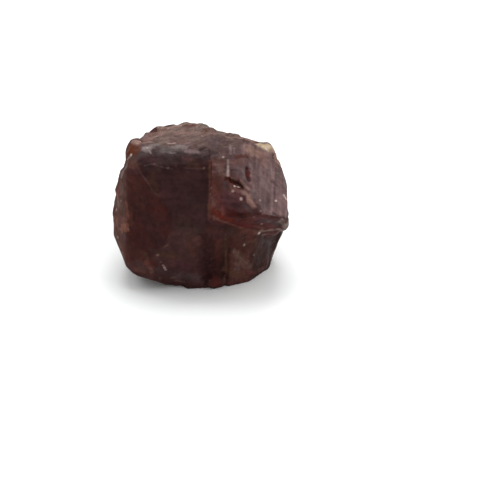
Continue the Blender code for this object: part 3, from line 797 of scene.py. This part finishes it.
def fibres(points, weights):
    """The fibres of all faces together, 0 where a face has none."""
    total = np.zeros(len(points))
    for name, (course, strength) in FIBRES.items():
        here = weights[name] > LEAST_FIBRE
        total[here] += weights[name][here] * strength * fibre_noise(points[here], name, course)
    return total


def relief(points, weights, fibre):
    """The height of the fine relief above the plain faces, in mm."""
    height = SWELL_HEIGHT * grain(points, "swell")
    coarse = sum(weight * FACE_LOOKS.get(name, BODY_LOOK)[2] for name, weight in weights.items())
    grained = grain(points, "grain") + FINE_SHARE * grain(points, "fine grain")
    height += coarse * GRAIN_HEIGHT * grained
    broken = np.clip(coarse - BREAK_COARSENESS, 0, 1) / BREAK_FADE
    craggy = grain(points, "break") + FINE_SHARE * grain(points, "fine break")
    height += broken * BREAK_HEIGHT * craggy
    return height + FIBRE_HEIGHT * fibre


def scattered(points, tree, count, radii):
    """Random small round places: the points in each, how near they are to its middle, its radius."""
    for _ in range(count):
        middle = points[random.randrange(len(points))]
        radius = random.uniform(*radii)
        found = tree.find_range(middle, radius)
        indices = [index for _, index, _ in found]
        near = 1 - np.array([away for _, _, away in found]) / radius
        yield indices, near, radius


def pits(points, tree):
    """Small worn pits, scattered over the whole crystal."""
    depth = np.zeros(len(points))
    for indices, near, radius in scattered(points, tree, PIT_COUNT, PIT_RADIUS):
        depth[indices] += PIT_DEPTH * radius * near ** PIT_SHAPE
    return depth


def dust(points, tree, coarse):
    """How much each point is covered by fine pale dust, which keeps to the coarse faces."""
    cover = np.zeros(len(points))
    for indices, near, _ in scattered(points, tree, DUST_COUNT, DUST_RADIUS):
        strength = random.uniform(*DUST_STRENGTH) * min(1, coarse[indices[0]] ** 2)
        cover[indices] = np.maximum(cover[indices], np.clip(DUST_FADE * near, 0, 1) * strength)
    return cover


def ray_target(mesh, points):
    """The crystal's surface, ready to be met by the camera's rays."""
    return BVHTree.FromPolygons([tuple(p) for p in points], [tuple(f.vertices) for f in mesh.polygons])


def touched(target, pixel):
    """The place on the crystal that the camera sees in a pixel, or the one nearest to its sight."""
    across = (pixel[0] / IMAGE_SIZE - 0.5) * CAMERA_SENSOR
    up = (0.5 - pixel[1] / IMAGE_SIZE) * CAMERA_SENSOR
    sight = Vector(VIEW_RIGHT * across + VIEW_UP * up - TO_CAMERA * CAMERA_LENS).normalized()
    place = target.ray_cast(Vector(EYE), sight)[0]
    if place is None:
        beside = Vector(EYE) + sight * sight.dot(Vector(MIDDLE - EYE))
        place = target.find_nearest(beside)[0]
    return np.array(place)


def draped(target, start, end):
    """Places on the crystal along a straight stroke, as the camera sees it."""
    steps = 1 + int(math.dist(start, end) / STROKE_STEP)
    shares = [step / steps for step in range(steps + 1)]
    pixels = [np.array(start) * (1 - share) + np.array(end) * share for share in shares]
    return [touched(target, pixel) for pixel in pixels]


def nearness(points, places, radius):
    """1 along a chain of places, fading softly to 0 a little beyond the radius."""
    nearest = np.full(len(points), np.inf)
    for start, end in zip(places[:-1], places[1:]):
        stretch = end - start
        squared_length = max(float(stretch @ stretch), TINY)
        share = np.clip((points - start) @ stretch / squared_length, 0, 1)[:, None]
        nearest = np.minimum(nearest, np.linalg.norm(points - start - share * stretch, axis=1))
    fade = np.clip(FADE_REACH - nearest / radius, 0, 1)
    return fade * fade * (3 - 2 * fade)


def swells(points, target):
    """The height of the small raised and sunk places, in mm."""
    height = np.zeros(len(points))
    for start, end, radius, rise in SWELLS.values():
        height += rise * nearness(points, draped(target, start, end), radius)
    return height


def store(mesh, name, kind, values):
    """Keeps one value for each point under a name that the material reads."""
    attribute = mesh.attributes.new(name, kind, "POINT")
    if kind == "FLOAT_COLOR":
        values = np.concatenate([values, np.ones((len(values), 1))], axis=1)
        attribute.data.foreach_set("color", values.ravel())
    else:
        attribute.data.foreach_set("value", values)


def tinted(tint, share, colour):
    """Mixes a colour into the tints by each point's share."""
    return tint * (1 - share[:, None]) + np.array(colour) * share[:, None]


def marked(tint, target, points):
    """The tints with the strokes and the spots laid on, painted glow, highlights, sheen and shade
    among them.
    """
    fray = np.stack([grain(points, "fray " + axis) for axis in "xyz"], axis=1)
    patchy = np.clip(1 + PATCHINESS * grain(points, "patchy"), LEAST_PATCH, 1)
    for start, end, radius, colour, strength in STROKES.values():
        frayed = points + fray * min(STROKE_FRAY, radius * radius * STROKE_FRAY_SHARE)
        share = nearness(frayed, draped(target, start, end), radius) * patchy * strength
        tint = tinted(tint, share, colour)
    for pixel, radius, colour, strength in SPOTS.values():
        middle = touched(target, pixel)
        frayed = points + fray * radius * SPOT_FRAY
        tint = tinted(tint, nearness(frayed, [middle, middle], radius) * strength, colour)
    return tint


def paint(mesh, points, target, tree, weights, fibre, sunk):
    """The colour, roughness and coarseness of every point."""
    tint = np.zeros((len(points), 3))
    rough = np.zeros(len(points))
    coarse = np.zeros(len(points))
    for name, weight in weights.items():
        colour, roughness, coarseness = FACE_LOOKS.get(name, BODY_LOOK)
        tint += weight[:, None] * np.array(colour)
        rough += weight * roughness
        coarse += weight * coarseness
    cloud = CLOUD_STRENGTH * grain(points, "cloud") * weights["body"]
    tint = tinted(tint, np.clip(cloud, 0, 1), MAROON)
    tint = tinted(tint, np.clip(-cloud, 0, 1), CHESTNUT)
    uneven = np.clip(WEAR_SHARE + WEAR_SWING * grain(points, "wear"), 0, 1)
    wear = np.clip(sunk / WEAR_DEPTH, 0, 1) * uneven
    tint = tinted(tint, wear * WEAR_STRENGTH, WEAR_COLOUR)
    tint *= np.clip(1 + FIBRE_SHADE * fibre, *FIBRE_SHADE_LIMITS)[:, None]
    tint = marked(tint, target, points)
    tint *= np.clip(1 + MARK_SHADE * fibre, *MARK_SHADE_LIMITS)[:, None]
    tint = tinted(tint, dust(points, tree, coarse), DUST_COLOUR)
    tint = np.maximum((tint - VEIL) * COLOUR_SCALE, LEAST_TINT)
    store(mesh, "tint", "FLOAT_COLOR", tint)
    store(mesh, "rough", "FLOAT", rough)
    store(mesh, "coarse", "FLOAT", coarse)


class Wiring:
    """A small helper to wire up a material's nodes."""

    def __init__(self, name):
        self.material = bpy.data.materials.new(name)
        self.material.use_nodes = True
        self.nodes = self.material.node_tree.nodes
        self.links = self.material.node_tree.links
        self.shader = self.nodes["Principled BSDF"]
        self.place = self.nodes.new("ShaderNodeTexCoord").outputs["Object"]

    def put(self, socket, value):
        """Links an output to an input, or sets the input to a number."""
        if isinstance(value, bpy.types.NodeSocket):
            self.links.new(value, socket)
        else:
            socket.default_value = value

    def attribute(self, name, output):
        """A value kept on the mesh."""
        node = self.nodes.new("ShaderNodeAttribute")
        node.attribute_name = name
        return node.outputs[output]

    def noise(self, wavelength, detail, distortion=0.0):
        """Noise from 0 to 1 with a wavelength in mm."""
        node = self.nodes.new("ShaderNodeTexNoise")
        node.inputs["Scale"].default_value = 1 / (wavelength * MM)
        node.inputs["Detail"].default_value = detail
        node.inputs["Distortion"].default_value = distortion
        self.links.new(self.place, node.inputs["Vector"])
        return node.outputs["Fac"]

    def ramp(self, value, low, high, start, end):
        """Value stretched from low..high to start..end and kept inside."""
        node = self.nodes.new("ShaderNodeMapRange")
        self.put(node.inputs["Value"], value)
        node.inputs["From Min"].default_value = low
        node.inputs["From Max"].default_value = high
        node.inputs["To Min"].default_value = start
        node.inputs["To Max"].default_value = end
        return node.outputs["Result"]

    def texture(self, name):
        """One of the named textures."""
        grains, stretch = TEXTURES[name]
        return self.ramp(self.noise(*grains), *stretch)

    def maths(self, operation, first, second):
        """One sum."""
        node = self.nodes.new("ShaderNodeMath")
        node.operation = operation
        self.put(node.inputs[0], first)
        self.put(node.inputs[1], second)
        return node.outputs[0]

    def mix(self, share, first, second):
        """Two colours mixed; the node's colour sockets are inputs 6 and 7 and output 2."""
        node = self.nodes.new("ShaderNodeMix")
        node.data_type = "RGBA"
        self.put(node.inputs[0], share)
        self.put(node.inputs[6], first)
        self.put(node.inputs[7], second)
        return node.outputs[2]

    def scaled(self, colour, factor):
        """A colour made lighter or darker."""
        node = self.nodes.new("ShaderNodeVectorMath")
        node.operation = "SCALE"
        self.put(node.inputs[0], colour)
        self.put(node.inputs["Scale"], factor)
        return node.outputs["Vector"]

    def bump(self, height, strength, distance):
        """A fine bump of the given height in mm."""
        node = self.nodes.new("ShaderNodeBump")
        self.put(node.inputs["Strength"], strength)
        node.inputs["Distance"].default_value = distance * MM
        self.put(node.inputs["Height"], height)
        return node.outputs["Normal"]


def garnet_material():
    """Dark, clouded garnet with pale specks and a waxy, uneven shine."""
    wiring = Wiring("garnet")
    shader = wiring.shader
    wiring.put(shader.inputs["IOR"], GARNET_IOR)
    wiring.put(shader.inputs["Specular IOR Level"], SHEEN)
    tint = wiring.attribute("tint", "Color")
    rough = wiring.attribute("rough", "Fac")
    coarse = wiring.attribute("coarse", "Fac")

    shade = wiring.maths("MULTIPLY", wiring.texture("clouds"), wiring.texture("mottle"))
    colour = wiring.scaled(tint, shade)
    speck_share = wiring.ramp(coarse, *SPECK_BY_COARSENESS)
    speck = wiring.maths("MULTIPLY", wiring.texture("specks"), speck_share)
    colour = wiring.mix(speck, colour, wiring.scaled(colour, SPECK_LIGHTNESS))
    wiring.put(shader.inputs["Base Color"], colour)

    roughness = wiring.maths("ADD", rough, wiring.texture("shine"))
    wiring.put(shader.inputs["Roughness"], roughness)
    bump_share = wiring.ramp(coarse, *BUMP_BY_COARSENESS)
    fine = wiring.bump(wiring.noise(*BUMP_NOISE), bump_share, BUMP_HEIGHT)
    wiring.put(shader.inputs["Normal"], fine)
    return wiring.material


def crystal():
    """The finished crystal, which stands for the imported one."""
    piece = remeshed_crystal()
    mesh = piece.data
    sunk = rounded_edges(mesh)
    points, normals = points_of(mesh)
    weights = face_weights(points, normals)
    fibre = fibres(points, weights)
    random.seed(SEED)
    tree = KDTree(len(points))
    for index, point in enumerate(points):
        tree.insert(point, index)
    tree.balance()
    target = ray_target(mesh, points)
    height = relief(points, weights, fibre) + swells(points, target) - pits(points, tree)
    paint(mesh, points, target, tree, weights, fibre, sunk)
    set_points(mesh, points + normals * height[:, None])
    mesh.transform(scale_matrix(MM))
    mesh.polygons.foreach_set("use_smooth", [True] * len(mesh.polygons))
    mesh.materials.clear()
    mesh.materials.append(garnet_material())
    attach(piece, "root")
    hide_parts(NODE)


def floor():
    """A wide pale floor that the crystal rests on."""
    mesh = bpy.data.meshes.new("floor")
    half = FLOOR_SIZE / 2
    corners = [(-half, -half, 0), (half, -half, 0), (half, half, 0), (-half, half, 0)]
    mesh.from_pydata(corners, [], [(0, 1, 2, 3)])
    plane = bpy.data.objects.new("floor", mesh)
    bpy.context.scene.collection.objects.link(plane)
    material = bpy.data.materials.new("floor")
    material.use_nodes = True
    shader = material.node_tree.nodes["Principled BSDF"]
    shader.inputs["Base Color"].default_value = FLOOR_COLOUR
    shader.inputs["Roughness"].default_value = 1.0
    shader.inputs["Specular IOR Level"].default_value = 0.0
    mesh.materials.append(material)


def area_light(name, azimuth, elevation, distance, width, height, power):
    """A soft light that faces the crystal; sizes in metres."""
    data = bpy.data.lights.new(name, "AREA")
    data.shape = "RECTANGLE"
    data.size = width
    data.size_y = height
    data.energy = power
    lamp = bpy.data.objects.new(name, data)
    bpy.context.scene.collection.objects.link(lamp)
    towards = Vector(direction(azimuth, elevation))
    lamp.location = towards * distance
    lamp.rotation_euler = towards.to_track_quat("Z", "Y").to_euler()


def studio():
    """A pale surround, a large soft light above and behind, one on each side and a low one behind."""
    world = bpy.data.worlds.new("surround")
    world.use_nodes = True
    background = world.node_tree.nodes["Background"]
    background.inputs["Color"].default_value = SURROUND_COLOUR
    background.inputs["Strength"].default_value = SURROUND_STRENGTH
    bpy.context.scene.world = world
    for name, values in LIGHTS.items():
        area_light(name, *values)


def camera():
    """A long lens, 30 degrees above the floor, with the crystal up and left of the middle."""
    data = bpy.data.cameras.new("camera")
    data.lens = CAMERA_LENS
    data.sensor_width = CAMERA_SENSOR
    data.clip_start, data.clip_end = CAMERA_CLIP
    eye = bpy.data.objects.new("camera", data)
    bpy.context.scene.collection.objects.link(eye)
    eye.location = Vector(EYE) * MM
    eye.rotation_euler = Vector(TO_CAMERA).to_track_quat("Z", "Y").to_euler()
    bpy.context.scene.camera = eye


bpy.context.scene.view_settings.view_transform = "Standard"
camera()
crystal()
floor()
studio()
